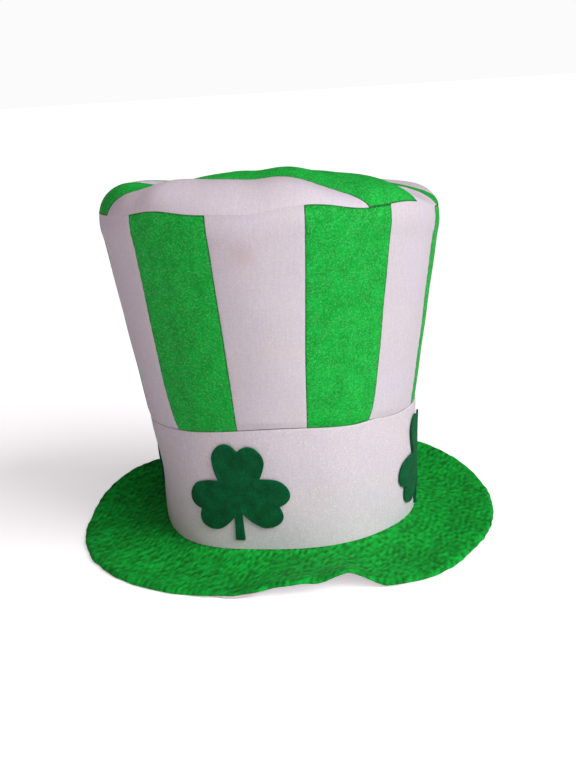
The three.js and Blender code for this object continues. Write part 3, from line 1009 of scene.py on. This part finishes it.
# Pressed craft felt: matt, dark, with cloudy fibres
def craft_felt_material():
    material, tree, shader = new_material("craft_felt")
    spot = add(tree, "ShaderNodeTexCoord").outputs["Object"]
    fibre = noise(tree, spot, pitch=1.6, detail=4.0, rough=0.65)
    base = blended(tree, spread_over(tree, fibre, 0.3, 0.7), linear("#00502a"), linear("#006c3e"))
    base = shaded(tree, base, noise(tree, spot, pitch=8.0), low=0.35, high=0.65, dark="#d0d4d0")
    tree.links.new(base, shader.inputs["Base Color"])
    shader.inputs["Roughness"].default_value = 0.95
    shader.inputs["Specular IOR Level"].default_value = 0.2
    set_sheen(shader, weight=0.15, roughness=0.5, tint="#60c090")
    set_bump(tree, shader, strength=0.6, distance=0.4, height=fibre)
    return material


def towards(turn, lift):
    """The way from the hat to what stands at a turn round it and a lift above the table, in radians."""
    return Vector((np.sin(turn) * np.cos(lift), -np.cos(turn) * np.cos(lift), np.sin(lift)))


def add_camera():
    """The camera looks at the hat from the photograph's azimuth and elevation, and leans by its roll."""
    azimuth, elevation, roll = np.radians([camera_azimuth, camera_elevation, camera_roll])
    back = towards(azimuth, elevation)
    right = Vector((np.cos(azimuth), np.sin(azimuth), 0))
    up = back.cross(right)
    image_right = right * np.cos(roll) - up * np.sin(roll)
    image_up = right * np.sin(roll) + up * np.cos(roll)
    data = bpy.data.cameras.new("camera")
    data.lens = camera_lens
    data.sensor_width = camera_sensor
    data.shift_x = camera_shift
    data.clip_start = camera_near * mm
    camera = bpy.data.objects.new("camera", data)
    turn = Matrix((image_right, image_up, back)).transposed().to_4x4()
    spot = Vector((0, 0, camera_target_height)) + back * camera_distance
    camera.matrix_world = Matrix.Translation(spot * mm) @ turn
    bpy.context.scene.collection.objects.link(camera)
    bpy.context.scene.camera = camera


def add_light(row):
    """A soft light that shines at the hat from far away: its angles are counted as the hat's are."""
    turn, lift = np.radians([row["turn"], row["lift"]])
    back = towards(turn, lift)
    data = bpy.data.lights.new(row["name"], "SUN")
    data.energy = row["energy"]
    data.color = linear(row["colour"])[:3]
    data.angle = np.radians(row["spread"])
    light = bpy.data.objects.new(row["name"], data)
    light.rotation_euler = back.to_track_quat("Z", "Y").to_euler()
    bpy.context.scene.collection.objects.link(light)


def add_stage():
    """A plain pale floor that looks brighter than it lights the hat, a pale backdrop and the lights."""
    mesh = bpy.data.meshes.new("floor")
    reach = floor_reach * mm
    corners = [(-reach, -reach, 0), (reach, -reach, 0), (reach, reach, 0), (-reach, reach, 0)]
    mesh.from_pydata(corners, [], [(0, 1, 2, 3)])
    floor = bpy.data.objects.new("floor", mesh)
    bpy.context.scene.collection.objects.link(floor)
    material, tree, shader = new_material("pale_floor")
    shader.inputs["Base Color"].default_value = linear("#f8f8f8")
    shader.inputs["Roughness"].default_value = 0.9
    shader.inputs["Specular IOR Level"].default_value = 0.1
    shader.inputs["Emission Color"].default_value = linear("#ffffff")
    straight = add(tree, "ShaderNodeLightPath").outputs["Is Camera Ray"]
    tree.links.new(times(tree, straight, floor_glow), shader.inputs["Emission Strength"])
    mesh.materials.append(material)
    world = bpy.data.worlds.new("studio")
    world.use_nodes = True
    tree = world.node_tree
    tree.nodes.clear()
    seen = add(tree, "ShaderNodeBackground", {}, {"Color": linear("#fbfbfb"), "Strength": 1.0})
    even = {"Color": linear(ambient_colour), "Strength": ambient_strength}
    ambient = add(tree, "ShaderNodeBackground", {}, even)
    path = add(tree, "ShaderNodeLightPath").outputs["Is Camera Ray"]
    sky = add(tree, "ShaderNodeMixShader", {}, {0: path, 1: ambient.outputs[0], 2: seen.outputs[0]})
    add(tree, "ShaderNodeOutputWorld", {}, {"Surface": sky.outputs[0]})
    bpy.context.scene.world = world
    for row in lights:
        add_light(row)


glitter_velour = glitter_velour_material()
crushed_velour = crushed_velour_material()
white_cloth = white_cloth_material("shimmer_cloth", panel_shimmer)
band_white_cloth = white_cloth_material("band_shimmer_cloth", band_shimmer)
backing_cloth = backing_cloth_material()
craft_felt = craft_felt_material()

add_camera()
add_stage()

for panel in range(panel_count):
    crown_panel(panel)
for strip in range(stripe_count):
    top_stripe(strip)
hat_band()
brim_layer("brim_backing", "brim_underside", backing_cloth, 0, brim_white_cloth, False)
brim_layer("brim_velour", "brim_top", crushed_velour, brim_white_cloth + seam_gap,
           brim_green_cloth, True)
for shamrock_row in shamrocks:
    shamrock(shamrock_row)

bpy.context.scene.view_settings.view_transform = "Standard"
